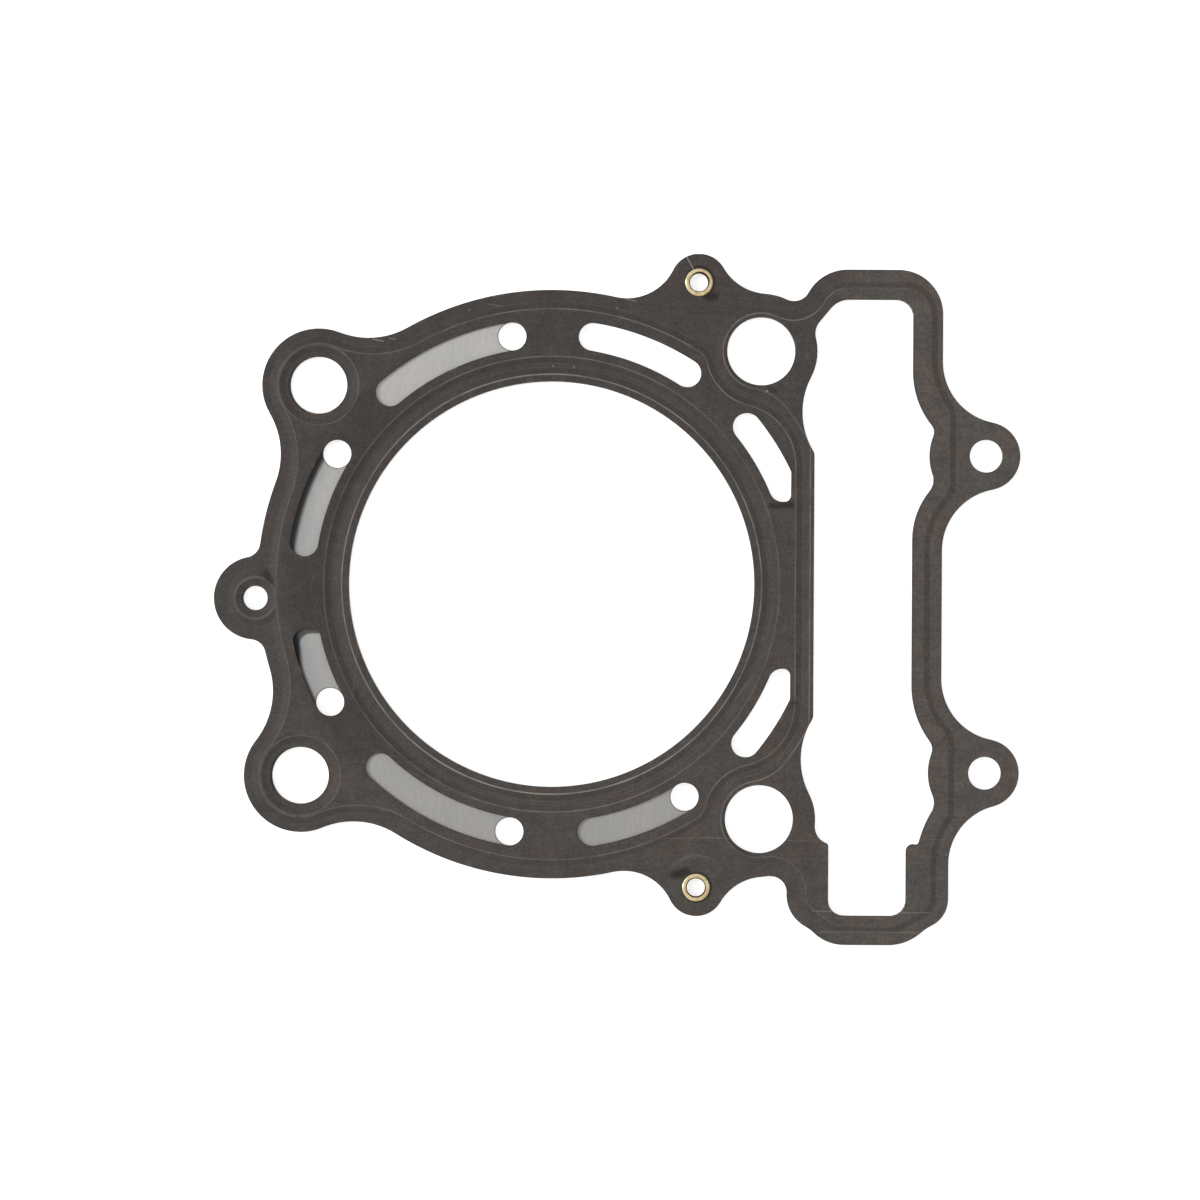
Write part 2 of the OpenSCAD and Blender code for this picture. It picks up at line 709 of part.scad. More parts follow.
// Half of the section of an eyelet: a tube with a rolled flange that lies on the outer sheet
module eyelet_half() {
    inner_r = eyelet_bore_d / 2;
    outer_r = inner_r + eyelet_wall;
    flange_r = eyelet_flange_d / 2;
    seat = top_of_core + sheet_t;
    crown = seat + eyelet_flange_h;
    mouth_r = inner_r + flange_round;
    edge_r = flange_r - flange_round;
    polygon([
        [inner_r, 0],
        for (a = [180, 135, 90]) [mouth_r + flange_round * cos(a), crown - flange_round * (1 - sin(a))],
        for (a = [90, 45, 0]) [edge_r + flange_round * cos(a), crown - flange_round * (1 - sin(a))],
        [flange_r, seat],
        [outer_r, seat],
        [outer_r, 0]
    ]);
}

module eyelet(place)
    color([0.80, 0.68, 0.42])
    translate([place[0], place[1], 0])
    union() {
        rotate_extrude() eyelet_half();
        mirror([0, 0, 1]) rotate_extrude() eyelet_half();
    }

module eyelet_upper() eyelet(upper_tab);

module eyelet_lower() eyelet(lower_tab);

outer_sheet_top();
core_sheet();
outer_sheet_bottom();
eyelet_upper();
eyelet_lower();
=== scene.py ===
"""Looks of a layered steel head gasket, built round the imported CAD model."""

import math

import bpy
import numpy as np
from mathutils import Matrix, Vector
from mathutils.geometry import delaunay_2d_cdt


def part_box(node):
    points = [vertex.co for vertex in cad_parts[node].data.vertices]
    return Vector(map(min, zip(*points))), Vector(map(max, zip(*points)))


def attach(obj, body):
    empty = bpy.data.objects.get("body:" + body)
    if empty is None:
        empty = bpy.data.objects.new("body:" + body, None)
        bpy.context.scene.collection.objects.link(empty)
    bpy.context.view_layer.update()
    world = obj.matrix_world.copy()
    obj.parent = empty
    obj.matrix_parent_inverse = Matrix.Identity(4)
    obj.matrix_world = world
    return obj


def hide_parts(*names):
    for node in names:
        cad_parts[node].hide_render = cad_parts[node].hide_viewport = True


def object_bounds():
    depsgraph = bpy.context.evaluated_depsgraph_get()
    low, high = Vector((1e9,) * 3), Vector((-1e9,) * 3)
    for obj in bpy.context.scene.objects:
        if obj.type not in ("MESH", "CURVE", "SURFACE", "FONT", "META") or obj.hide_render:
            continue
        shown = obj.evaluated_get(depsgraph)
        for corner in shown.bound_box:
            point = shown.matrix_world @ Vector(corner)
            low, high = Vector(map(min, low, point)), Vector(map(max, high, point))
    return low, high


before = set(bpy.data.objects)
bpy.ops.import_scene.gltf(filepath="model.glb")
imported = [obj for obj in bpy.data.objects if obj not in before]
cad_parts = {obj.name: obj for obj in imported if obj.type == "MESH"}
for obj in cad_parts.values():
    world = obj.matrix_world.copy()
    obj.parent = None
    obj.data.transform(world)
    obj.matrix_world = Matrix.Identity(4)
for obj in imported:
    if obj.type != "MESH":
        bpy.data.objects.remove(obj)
cad_box = [list(corner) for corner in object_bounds()]

MM = 0.001

# How the photograph shows the part: the bore centre, the scale and the small turn of the part in it
PHOTO_SIZE = 1200
BORE_PX = (551.59, 584.14)
MM_PER_PX = 0.19224
PHOTO_TURN = math.radians(0.30)

# Section of a pressed sheet: its thickness, the heights of its outer face and the width of a slope
SHEET_MM = 0.25
PLATEAU_MM = 0.75
LOW_MM = 0.5
SLOPE_MM = 1.3
# A bend is rounded over this distance to each side
BEND_MM = 0.15

# The metering holes of the core sheet, on the circle of the coolant slots
SLOT_CIRCLE_MM = 48.255
METERING_R_MM = 2.7
METERING_ANGLES = [math.radians(angle) for angle in (99.3, 149.0, 208.3, 260.6, 302.3)]

# The eyelets: radii, and the round crown of the flange
EYELET_BORE_MM = 1.75
EYELET_TUBE_MM = 2.10
EYELET_FLANGE_MM = 2.65
CROWN_POINTS = 19
CROWN_POWER = 0.7
LATHE_STEPS = 96
# The edge that turns into the hole is brown, as tarnish and painted shade, the shade widening it on one
# side: its width in mm, and how much wider it is on one side
BROWN_EDGES = {"eyelet_upper": (0.17, 0.20), "eyelet_lower": (0.20, 0.0)}
BROWN_SIDE = math.radians(45)
BROWN_BLUR_MM = 0.08

# How the CAD node is read: digits of a mm that make two vertices one, the angle between facets from
# which on there is a bend, and how far below the plateau the corners of a crest may lie
EQUAL_DIGITS = 4
BEND_ANGLE = math.radians(3)
LEVEL_GAP_MM = 0.02
# Two chords belong to one arc when their lengths differ by less than this share
CHORD_SHARE = 0.02
# A chord that is this many times as long as the one beside it is a straight line
LINE_TIMES = 3
SHARP_TURN = math.radians(32)

# Steps of the refined edges
LONGEST_STEP_MM = 1.3
LARGEST_TURN = math.radians(5)

# Rows of points beside an edge: across a crest and down to its foot, and inwards from a cut edge
CREST_ROWS = (-0.30, -0.14, -0.06, 0.06, 0.14, 0.30, 1.08, 1.22, 1.38, 1.52)
RIM_ROWS = (0.07, 0.16, 0.30)
# A point this far beside a loop tells which side of it is inside
PROBE_MM = 0.02
# Points that carry a mark, in half widths: across it, round its ends, and the step along it
MARK_ROWS = (-1.6, -0.8, 0, 0.8, 1.6)
END_ROWS = (0.8, 1.6)
END_POINTS = 8
MARK_STEP = 1.5
# A mark is at full strength up to 0.5 half widths from its middle, and ends at this many
MARK_REACH = 1.5

# Settings of the triangulation: fill the convex hull, and the gap that makes two points one
CONVEX_HULL = 0
SAME_POINT_MM = 1e-4

TINY = 1e-12
FAR = 1e9

# The studio, in metres and watts
FLOOR_SIZE = 6.0
FLOOR_GAP = 0.00002
WORLD_STRENGTH = 0.56
KEY_PLACE = (-1.60, 0.25, 1.20)
KEY_SIZE = 0.50
KEY_POWER = 22.0
CAMERA_DISTANCE = 0.6
SENSOR_MM = 36.0
WHITE = (1, 1, 1, 1)


def from_photo(px, py):
    """Turns a point of the photograph into millimetres in the part's frame."""
    across = (px - BORE_PX[0]) * MM_PER_PX
    up = (BORE_PX[1] - py) * MM_PER_PX
    x = across * math.cos(PHOTO_TURN) - up * math.sin(PHOTO_TURN)
    y = across * math.sin(PHOTO_TURN) + up * math.cos(PHOTO_TURN)
    return np.array([x, y])


# Light marks on the coating: start and end in the photograph's pixels, half width in mm and strength
SCRATCHES = {
    "upper_tab": (687, 257, 694, 270, 0.10, 0.9),
    "right_of_slot": (662, 839, 718, 837, 0.05, 0.30),
    "below_right_stud": (700, 838, 742, 839, 0.05, 0.35),
    "frame_foot_long": (812, 911, 930, 913, 0.10, 0.40),
    "frame_foot_short": (838, 907, 905, 908, 0.06, 0.20),
    "frame_foot_low": (822, 917, 882, 918, 0.06, 0.20),
    "frame_foot_lowest": (821, 932, 917, 932.5, 0.08, 0.40),
    "step": (905, 838, 945, 840, 0.05, 0.30),
    "left_of_step": (770, 840, 842, 842, 0.05, 0.25),
    "top_left_nick_a": (373, 339, 383, 341, 0.12, 0.60),
    "top_left_nick_b": (389, 338, 396, 339, 0.10, 0.50),
    "top_right_nick": (626, 299, 636, 301, 0.10, 0.55),
    "top_line": (488, 304, 503, 306, 0.06, 0.35),
    "ring_right": (735, 700, 752, 676, 0.05, 0.40),
    "ring_left": (358, 640, 352, 700, 0.04, 0.22),
    "lower_left": (405, 770, 470, 800, 0.04, 0.22),
    "dot_lip_a": (553, 366, 553, 366, 0.16, 0.70),
    "dot_lip_b": (574, 367, 574, 367, 0.16, 0.70),
    "dot_top_a": (617, 308, 617, 308, 0.16, 0.60),
    "dot_top_b": (469, 310, 469, 310, 0.16, 0.60),
    "dot_stud": (767, 391, 767, 391, 0.20, 0.90),
}

# Dark stains and painted shadows on it, given the same way; the marks beside the eyelets and the left
# hole are painted shadow
STAINS_AND_SHADOWS = {
    "beside_upper_eyelet": (707, 296, 714, 296, 0.85, 1.0),
    "beside_lower_eyelet": (675, 875, 686, 872, 0.80, 0.95),
    "beside_left_hole": (266, 573, 270, 581, 0.7, 0.65),
    "right_stud": (768, 387, 775, 391, 0.45, 0.60),
    "slot_end": (771, 506, 792, 505, 0.55, 0.90),
    "slot_corner": (794, 702, 794, 702, 0.45, 0.90),
}

# Arcs of such marks: centre in pixels, radius and half width in mm, direction and half angle, strength
LIGHT_ARCS = {
    "round_lower_eyelet": (697, 888, 6.2, 0.22, 100, 55, 0.16),
}
# Painted shadow: dark arcs inside the stud holes and the left hole, and round the eyelets
DARK_ARCS = {
    "upper_right_stud": (761.8, 351.1, 6.80, 0.45, 200, 75, 0.45),
    "lower_right_stud": (758.6, 819.3, 6.80, 0.45, 215, 75, 0.45),
    "upper_left_stud": (319.1, 384.9, 5.60, 0.28, 180, 60, 1.0),
    "lower_left_stud": (300.4, 775.4, 5.60, 0.28, 175, 60, 1.0),
    "left_hole": (255.4, 598.0, 2.45, 0.28, 175, 75, 0.9),
    "round_upper_eyelet": (700.2, 280.9, 2.80, 0.25, 300, 70, 0.7),
    "fringe_upper_eyelet": (700.2, 280.9, 2.75, 0.22, 0, 180, 0.9),
    "fringe_lower_eyelet": (696.9, 887.7, 2.75, 0.22, 0, 180, 0.9),
}


# Reading the CAD node

def node_surface(name):
    """Gives the vertices in mm, with equal ones merged, and the triangles of a CAD node."""
    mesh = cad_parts[name].data
    mesh.calc_loop_triangles()
    points = np.empty(len(mesh.vertices) * 3)
    mesh.vertices.foreach_get("co", points)
    points = points.reshape(-1, 3) / MM
    triangles = np.array([t.vertices for t in mesh.loop_triangles])
    keys = np.round(points, EQUAL_DIGITS)
    merged, index = np.unique(keys, axis=0, return_inverse=True)
    triangles = index.reshape(-1)[triangles]
    whole = triangles[:, 0] != triangles[:, 1]
    whole &= triangles[:, 1] != triangles[:, 2]
    whole &= triangles[:, 2] != triangles[:, 0]
    return merged, triangles[whole]


def normals_of(points, triangles):
    a, b, c = (points[triangles[:, k]] for k in range(3))
    n = np.cross(b - a, c - a)
    size = np.linalg.norm(n, axis=1, keepdims=True)
    return n / np.maximum(size, TINY)


def feature_edges(triangles, normals):
    """Splits the edges of a surface into its border and the bends inside it."""
    seen = {}
    for face, triangle in enumerate(triangles):
        for k in range(3):
            a, b = int(triangle[k]), int(triangle[(k + 1) % 3])
            seen.setdefault((min(a, b), max(a, b)), []).append(face)
    flat = math.cos(BEND_ANGLE)
    border = [edge for edge, faces in seen.items() if len(faces) == 1]
    bends = [edge for edge, faces in seen.items()
             if len(faces) > 1 and normals[faces[0]] @ normals[faces[1]] < flat]
    return border, bends


def chains(edges):
    """Joins edges into closed loops of vertex numbers."""
    beside = {}
    for a, b in edges:
        beside.setdefault(a, []).append(b)
        beside.setdefault(b, []).append(a)
    loops = []
    left = set(beside)
    while left:
        here = min(left)
        loop = []
        while here is not None:
            loop.append(here)
            left.discard(here)
            here = next((v for v in beside[here] if v in left), None)
        loops.append(loop)
    return loops


def wrapped(angle):
    return (angle + math.pi) % (2 * math.pi) - math.pi


def curve_headings(length, heading):
    """Direction of the curve through a loop's corners, as it arrives at each and as it leaves.

    The corners lie on arcs and lines. Two chords of one length belong to one arc, which passes
    their corner halfway between their headings. Where an arc ends, its own turn gives the direction.
    """
    turn = wrapped(heading - np.roll(heading, 1))
    before = np.roll(length, 1)
    on_arc = np.abs(length - before) < CHORD_SHARE * length
    count = len(length)
    arrive = np.roll(heading, 1)
    leave = heading.copy()
    for k in range(count):
        if on_arc[k]:
            way = arrive[k] + turn[k] / 2
        elif abs(turn[k]) > SHARP_TURN:
            continue
        else:
            back = on_arc[k - 1]
            ahead = on_arc[(k + 1) % count]
            from_back = turn[k - 1] / 2 if back else 0
            from_ahead = turn[k] - turn[(k + 1) % count] / 2 if ahead else turn[k]
            if back == ahead and not back and length[k] > LINE_TIMES * before[k]:
                offset = turn[k]
            elif back == ahead and not back and before[k] > LINE_TIMES * length[k]:
                offset = 0
            elif back == ahead:
                offset = (from_back + from_ahead) / 2
            else:
                offset = from_back if back else from_ahead
            way = arrive[k] + offset
        arrive[k] = way
        leave[k] = way
    return arrive, leave


def refined(points, low, high):
    """Closed loop with more corners, along the arcs and lines on which the given corners lie."""
    chord = np.roll(points, -1, axis=0) - points
    length = np.hypot(chord[:, 0], chord[:, 1])
    heading = np.arctan2(chord[:, 1], chord[:, 0])
    arrive, leave = curve_headings(length, heading)
    pieces = []
    for k, start in enumerate(points):
        after = (k + 1) % len(points)
        end = points[after]
        bend = abs(wrapped(arrive[after] - leave[k]))
        parts = max(1, math.ceil(length[k] / LONGEST_STEP_MM), math.ceil(bend / LARGEST_TURN))
        s = (np.arange(parts) / parts)[:, None]
        start_way = length[k] * np.array([math.cos(leave[k]), math.sin(leave[k])])
        end_way = length[k] * np.array([math.cos(arrive[after]), math.sin(arrive[after])])
        pieces.append((2 * s ** 3 - 3 * s ** 2 + 1) * start + (s ** 3 - 2 * s ** 2 + s) * start_way
                      + (3 * s ** 2 - 2 * s ** 3) * end + (s ** 3 - s ** 2) * end_way)
    return np.clip(np.vstack(pieces), low, high)


def sheet_loops(node, up):
    """Border and crests of a sheet's outer face, each as closed loops of points in mm."""
    points, triangles = node_surface(node)
    normals = normals_of(points, triangles)
    outside = normals[:, 2] * up > 0.5
    border, bends = feature_edges(triangles[outside], normals[outside])
    height = points[:, 2] * up
    crests = [e for e in bends if min(height[e[0]], height[e[1]]) > PLATEAU_MM - LEVEL_GAP_MM]
    flat = points[:, :2]
    low, high = flat.min(axis=0), flat.max(axis=0)
    border_loops = [refined(flat[loop], low, high) for loop in chains(border)]
    crest_loops = [refined(flat[loop], low, high) for loop in chains(crests)]
    return border_loops, crest_loops


# Distances in the plane

def segments_of(loops):
    starts = np.vstack(loops)
    ends = np.vstack([np.roll(loop, -1, axis=0) for loop in loops])
    return starts, ends


def distance_to(points, starts, ends):
    """Distance in the plane from each point to the nearest of some segments."""
    best = np.full(len(points), FAR)
    for start, end in zip(starts, ends):
        along = end - start
        length = max(along @ along, TINY)
        t = np.clip(((points - start) @ along) / length, 0, 1)
        gap = points - start - t[:, None] * along
        best = np.minimum(best, gap[:, 0] ** 2 + gap[:, 1] ** 2)
    return np.sqrt(best)


def inside(points, starts, ends):
    """Tells which points lie within an odd number of the loops made of some segments."""
    odd = np.zeros(len(points), dtype=bool)
    x, y = points[:, 0], points[:, 1]
    for (ax, ay), (bx, by) in zip(starts, ends):
        if ay != by:
            crosses = (ay > y) != (by > y)
            odd ^= crosses & (x < ax + (bx - ax) * (y - ay) / (by - ay))
    return odd


# Marks on the coating

def placed_lines(marks):
    return [(from_photo(m[0], m[1]), from_photo(m[2], m[3]), m[4], m[5]) for m in marks.values()]


def placed_arcs(marks):
    return [(from_photo(m[0], m[1]), m[2], m[3], math.radians(m[4]), math.radians(m[5]), m[6])
            for m in marks.values()]


def beside_line(start, end, half):
    """Points round a mark, so that the mesh can carry it."""
    along = end - start
    length = np.hypot(*along)
    across = np.array([-along[1], along[0]]) / length if length > 0 else np.array([0.0, 1.0])
    steps = max(1, int(length / (MARK_STEP * half)))
    spots = [start + along * k / steps + across * row * half
             for k in range(steps + 1) for row in MARK_ROWS]
    for place in (start, end):
        for a in np.arange(END_POINTS) * 2 * math.pi / END_POINTS:
            way = half * np.array([math.cos(a), math.sin(a)])
            spots += [place + row * way for row in END_ROWS]
    return spots


def beside_arc(centre, radius, half, direction, spread):
    """Points along an arc, so that the mesh can carry it."""
    steps = max(2, int(radius * spread / half))
    angles = direction + spread * np.linspace(-1, 1, steps)
    return [centre + (radius + row * half) * np.array([math.cos(a), math.sin(a)])
            for a in angles for row in MARK_ROWS]


def mark_values(spots, lines, arcs):
    """Strength of some marks at each point, soft at their edges."""
    values = np.zeros(len(spots))
    for start, end, half, strength in lines:
        gap = distance_to(spots, [start], [end])
        values = np.maximum(values, strength * np.clip(MARK_REACH - gap / half, 0, 1))
    for centre, radius, half, direction, spread, strength in arcs:
        away = spots - centre
        gap = np.abs(np.hypot(away[:, 0], away[:, 1]) - radius)
        turned = np.abs(wrapped(np.arctan2(away[:, 1], away[:, 0]) - direction))
        whole_circle = spread >= math.pi
        ends = 1 if whole_circle else np.clip(MARK_REACH - turned / (spread / MARK_REACH), 0, 1)
        values = np.maximum(values, strength * ends * np.clip(MARK_REACH - gap / half, 0, 1))
    return values


# Meshes

def add_attribute(mesh, name, values):
    layer = mesh.attributes.new(name, "FLOAT", "POINT")
    layer.data.foreach_set("value", np.asarray(values, dtype=np.float32))


def new_object(name, verts, faces):
    mesh = bpy.data.meshes.new(name + "_mesh")
    mesh.from_pydata(verts, [], faces)
    mesh.polygons.foreach_set("use_smooth", [True] * len(faces))
    made = bpy.data.objects.new(name, mesh)
    bpy.context.collection.objects.link(made)
    return made


def rows_beside(loop, offsets, starts, ends, wanted):
    """Rows of points beside a loop, with positive offsets on the side that is inside, or isn't."""
    along = np.roll(loop, -1, axis=0) - np.roll(loop, 1, axis=0)
    across = np.column_stack([along[:, 1], -along[:, 0]])
    across /= np.maximum(np.linalg.norm(across, axis=1, keepdims=True), TINY)
    probe = loop[:1] + PROBE_MM * across[:1]
    side = 1 if inside(probe, starts, ends)[0] == wanted else -1
    return [spot for offset in offsets for spot in loop + side * offset * across]


def kept_inside(spots, faces, borders):
    """Drops the faces outside the border loops, and the points that only they use."""
    faces = faces[inside(spots[faces].mean(axis=1), *borders)]
    used = np.unique(faces)
    renumber = np.full(len(spots), -1)
    renumber[used] = np.arange(len(used))
    return spots[used], renumber[faces]


def meshed(border_loops, crest_loops, marks):
    """Triangles between the borders, close together beside borders, crests and marks."""
    borders = segments_of(border_loops)
    crests = segments_of(crest_loops)
    spots = []
    edges = []
    for loop in border_loops + crest_loops:
        first = len(spots)
        spots += list(loop)
        edges += [(first + k, first + (k + 1) % len(loop)) for k in range(len(loop))]
    for loop in crest_loops:
        spots += rows_beside(loop, CREST_ROWS, *crests, False)
    for loop in border_loops:
        spots += rows_beside(loop, RIM_ROWS, *borders, True)
    for lines, arcs in marks:
        for start, end, half, _ in lines:
            spots += beside_line(start, end, half)
        for centre, radius, half, direction, spread, _ in arcs:
            spots += beside_arc(centre, radius, half, direction, spread)
    found = delaunay_2d_cdt([Vector(s) for s in spots], edges, [], CONVEX_HULL, SAME_POINT_MM)
    spots = np.array([tuple(v) for v in found[0]])
    return kept_inside(spots, np.array(found[2]), borders)


def height_at(crest):
    """Height of the sheet's outer face at a signed distance from the nearest crest, with round bends."""
    def risen(t):
        t = np.maximum(t, 0)
        return np.where(t < SLOPE_MM, t * t / (2 * SLOPE_MM), t - SLOPE_MM / 2)
    share = (risen(crest + BEND_MM) - risen(crest - BEND_MM)) / (2 * BEND_MM)
    return PLATEAU_MM - (PLATEAU_MM - LOW_MM) * share


def thick_sheet(name, spots, heights, faces, up, fields):
    """Gives an outer face its thickness, and the fields that the material reads.

    The outer face, the inner face and the cut edges have vertices of their own, so each is
    shaded by itself, and the cut edges have the second material.
    """
    count = len(spots)
    outer = np.column_stack([spots, heights * up])
    inner = np.column_stack([spots, (heights - SHEET_MM) * up])
    layers = [outer, inner, outer, inner]
    verts = np.vstack(layers) * MM
    outer_faces = [tuple(f[::up]) for f in faces.tolist()]
    inner_faces = [tuple(v + count for v in f[::-1]) for f in outer_faces]
    sides = {(f[k], f[(k + 1) % 3]) for f in outer_faces for k in range(3)}
    open_sides = sorted(edge for edge in sides if (edge[1], edge[0]) not in sides)
    walls = [(b + 2 * count, a + 2 * count, a + 3 * count, b + 3 * count) for a, b in open_sides]

    sheet = new_object(name, verts.tolist(), outer_faces + inner_faces + walls)
    slots = [0] * (len(outer_faces) + len(inner_faces)) + [1] * len(walls)
    sheet.data.polygons.foreach_set("material_index", slots)
    for field, values in fields.items():
        add_attribute(sheet.data, field, np.tile(values, len(layers)))
    sheet.data.update()
    return sheet


def outer_sheet(node, up, light_marks, dark_marks):
    """Builds an outer sheet again from its CAD node, with true arcs, round bends, its wear and painted
    shadows.
    """
    border_loops, crest_loops = sheet_loops(node, up)
    spots, faces = meshed(border_loops, crest_loops, (light_marks, dark_marks))
    crests = segments_of(crest_loops)
    crest = distance_to(spots, *crests)
    crest = np.where(inside(spots, *crests), -crest, crest)
    fields = {
        "crest": crest,
        "rim": distance_to(spots, *segments_of(border_loops)),
        "scratch": mark_values(spots, *light_marks),
        "stain_and_shadow": mark_values(spots, *dark_marks),
    }
    sheet = thick_sheet(node + "_formed", spots, height_at(crest), faces, up, fields)
    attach(sheet, "root")
    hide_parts(node)
    return sheet


def lathe(name, profile, centre):
    """Turns a closed profile of [radius, height] round an upright axis, all in mm."""
    turns = [2 * math.pi * k / LATHE_STEPS for k in range(LATHE_STEPS)]
    verts = [(MM * (centre[0] + r * math.cos(a)), MM * (centre[1] + r * math.sin(a)), MM * z)
             for a in turns for r, z in profile]
    size = len(profile)
    faces = []
    for k in range(LATHE_STEPS):
        here = k * size
        there = (k + 1) % LATHE_STEPS * size
        for i in range(size):
            j = (i + 1) % size
            faces.append((here + i, here + j, there + j, there + i))
    return new_object(name, verts, faces)


# Materials

class Nodes:
    """Adds shader nodes to a material in short calls."""

    def __init__(self, name):
        self.material = bpy.data.materials.new(name)
        self.material.use_nodes = True
        self.tree = self.material.node_tree
        self.shader = self.tree.nodes["Principled BSDF"]

    def put(self, kind, inputs=(), **settings):
        made = self.tree.nodes.new(kind)
        for key, value in settings.items():
            setattr(made, key, value)
        for key, value in dict(inputs).items():
            self.feed(made.inputs[key], value)
        return made

    def feed(self, socket, value):
        if isinstance(value, bpy.types.NodeSocket):
            self.tree.links.new(value, socket)
        else:
            socket.default_value = value

    def surface(self, name, value):
        self.feed(self.shader.inputs[name], value)

    def math(self, operation, a, b=0.0):
        return self.put("ShaderNodeMath", {0: a, 1: b}, operation=operation).outputs[0]

    def product(self, *values):
        result = values[0]
        for value in values[1:]:
            result = self.math("MULTIPLY", result, value)
        return result

    def one_minus(self, value):
        return self.math("SUBTRACT", 1.0, value)

    def length(self, a, b):
        squares = self.math("ADD", self.product(a, a), self.product(b, b))
        return self.math("SQRT", squares)

    def spread(self, value, low, high, to_low=0.0, to_high=1.0, smooth=True):
        """Carries a value that goes from low to high over to another range, and holds it at the ends."""
        kind = "SMOOTHSTEP" if smooth else "LINEAR"
        inputs = {"Value": value, "From Min": low, "From Max": high}
        inputs.update({"To Min": to_low, "To Max": to_high})
        return self.put("ShaderNodeMapRange", inputs, interpolation_type=kind).outputs[0]

    def mix(self, factor, a, b):
        made = self.put("ShaderNodeMix", data_type="RGBA")
        self.feed(made.inputs[0], factor)
        self.feed(made.inputs[6], a)
        self.feed(made.inputs[7], b)
        return made.outputs[2]

    def scaled(self, vector, scale):
        made = self.put("ShaderNodeVectorMath", {0: vector, 1: scale}, operation="MULTIPLY")
        return made.outputs[0]

    def distance(self, vector, point):
        made = self.put("ShaderNodeVectorMath", {0: vector, 1: point}, operation="DISTANCE")
        return made.outputs["Value"]

    def toned(self, colour, tone):
        """Makes a colour lighter or darker by a factor."""
        factor = self.put("ShaderNodeCombineXYZ", {0: tone, 1: tone, 2: tone}).outputs[0]
        return self.scaled(colour, factor)

    def noise(self, vector, scale, detail, roughness):
        inputs = {"Vector": vector, "Scale": scale, "Detail": detail, "Roughness": roughness}
        return self.put("ShaderNodeTexNoise", inputs).outputs["Fac"]

    def attribute(self, name):
        return self.put("ShaderNodeAttribute", attribute_name=name).outputs["Fac"]

    def millimetres(self):
        place = self.put("ShaderNodeTexCoord").outputs["Object"]
        return self.scaled(place, (1 / MM, 1 / MM, 1 / MM))

    def bump(self, height, strength, distance):
        inputs = {"Height": height, "Strength": strength, "Distance": distance}
        self.surface("Normal", self.put("ShaderNodeBump", inputs).outputs[0])


def tint(red, green, blue):
    """An 8-bit screen colour as a linear one."""
    def linear(v):
        v = v / 255
        return v / 12.92 if v <= 0.04045 else ((v + 0.055) / 1.055) ** 2.4
    return (linear(red), linear(green), linear(blue), 1.0)


COAT_COOL = tint(76, 72, 68)
COAT_WARM = tint(80, 72, 67)
CREST_RUBBED_AND_HIGHLIT = tint(136, 131, 125)
CREST_BRIGHT = tint(170, 165, 158)
FOOT_RUBBED = tint(112, 107, 101)
RIM_DARK = tint(44, 41, 38)
RIM_WORN = tint(118, 113, 106)
HAIRLINE = tint(128, 123, 117)
STAIN_AND_SHADOW = tint(34, 28, 21)
SCRATCH = tint(165, 161, 156)
CUT_DARK = tint(44, 42, 40)
CUT_BARE = tint(80, 78, 75)
STEEL_DARK = tint(198, 196, 192)
STEEL_LIGHT = tint(222, 220, 215)
STEEL_ROLLED = tint(228, 226, 222)
STEEL_COOL = tint(192, 194, 200)
SHADE = tint(92, 98, 116)
SHADOW = tint(20, 20, 24)
BURR = tint(96, 88, 78)
BRASS_DEEP = tint(224, 196, 138)
BRASS_PALE = tint(250, 233, 190)
BRASS_BROWN = tint(74, 54, 20)

# Noises of the coating: scale per mm, detail and roughness
TURNED = (2.2, 4.0, 0.7)
ROLLED = (0.9, 4.0, 0.65)
BLOTCH = (0.13, 3.0, 0.6)
CLOUD = (0.35, 4.0, 0.6)
GRAIN = (1.7, 4.0, 0.75)
GAPS = (0.16, 3.0, 0.6)

# Where a look changes, in mm: x at the tunnel, y on the ring, and the radius between the two ring crests
TUNNEL_X = (48.0, 62.0)
RING_Y = (-50.0, 50.0)
BETWEEN_CRESTS = (42.0, 43.0)


def coat_streaks(n, place, x, y, radius):
    """Turned marks round the bore, and rolled ones elsewhere."""
    angle = n.math("ARCTAN2", y, x)
    turned_place = n.put("ShaderNodeCombineXYZ", {0: radius, 1: n.product(angle, 1.2)})
    turned = n.noise(turned_place.outputs[0], *TURNED)
    rolled = n.noise(n.scaled(place, (0.20, 2.4, 1.0)), *ROLLED)
    near_bore = n.spread(radius, 56.0, 50.0)
    return n.math("ADD", n.product(turned, near_bore), n.product(rolled, n.one_minus(near_bore)))


def coat_tone_and_painted_light(n, x, y, radius):
    """Painted light and shade: the coating is drawn lighter round the tunnel, and on the ring darker from
    the bottom to the top.

    On the left, the band that carries the slots is darker than the rim outside it.
    """
    tunnel = n.spread(x, *TUNNEL_X)
    ring_tone = n.product(n.spread(y, *RING_Y, 1.08, 0.88, False), n.one_minus(tunnel))
    tone = n.math("ADD", ring_tone, n.product(tunnel, 1.32))
    on_left = n.spread(x, -22.0, -32.0)
    band = n.product(on_left, n.spread(radius, 42.0, 44.5), n.spread(radius, 52.0, 50.0), 0.16)
    outside = n.product(on_left, n.spread(radius, 51.0, 53.5), n.spread(radius, 64.0, 58.0), 0.08)
    return n.product(tone, n.math("ADD", n.one_minus(band), outside))


def slope_painted_shade(n, x, crest):
    """Painted shade: slopes are a little darker than the faces, most on the tunnel's frame."""
    on_slope = n.product(n.spread(crest, 0.05, 0.30), n.spread(crest, 1.45, 1.15))
    return n.one_minus(n.product(on_slope, n.spread(x, *TUNNEL_X, 0.10, 0.24)))


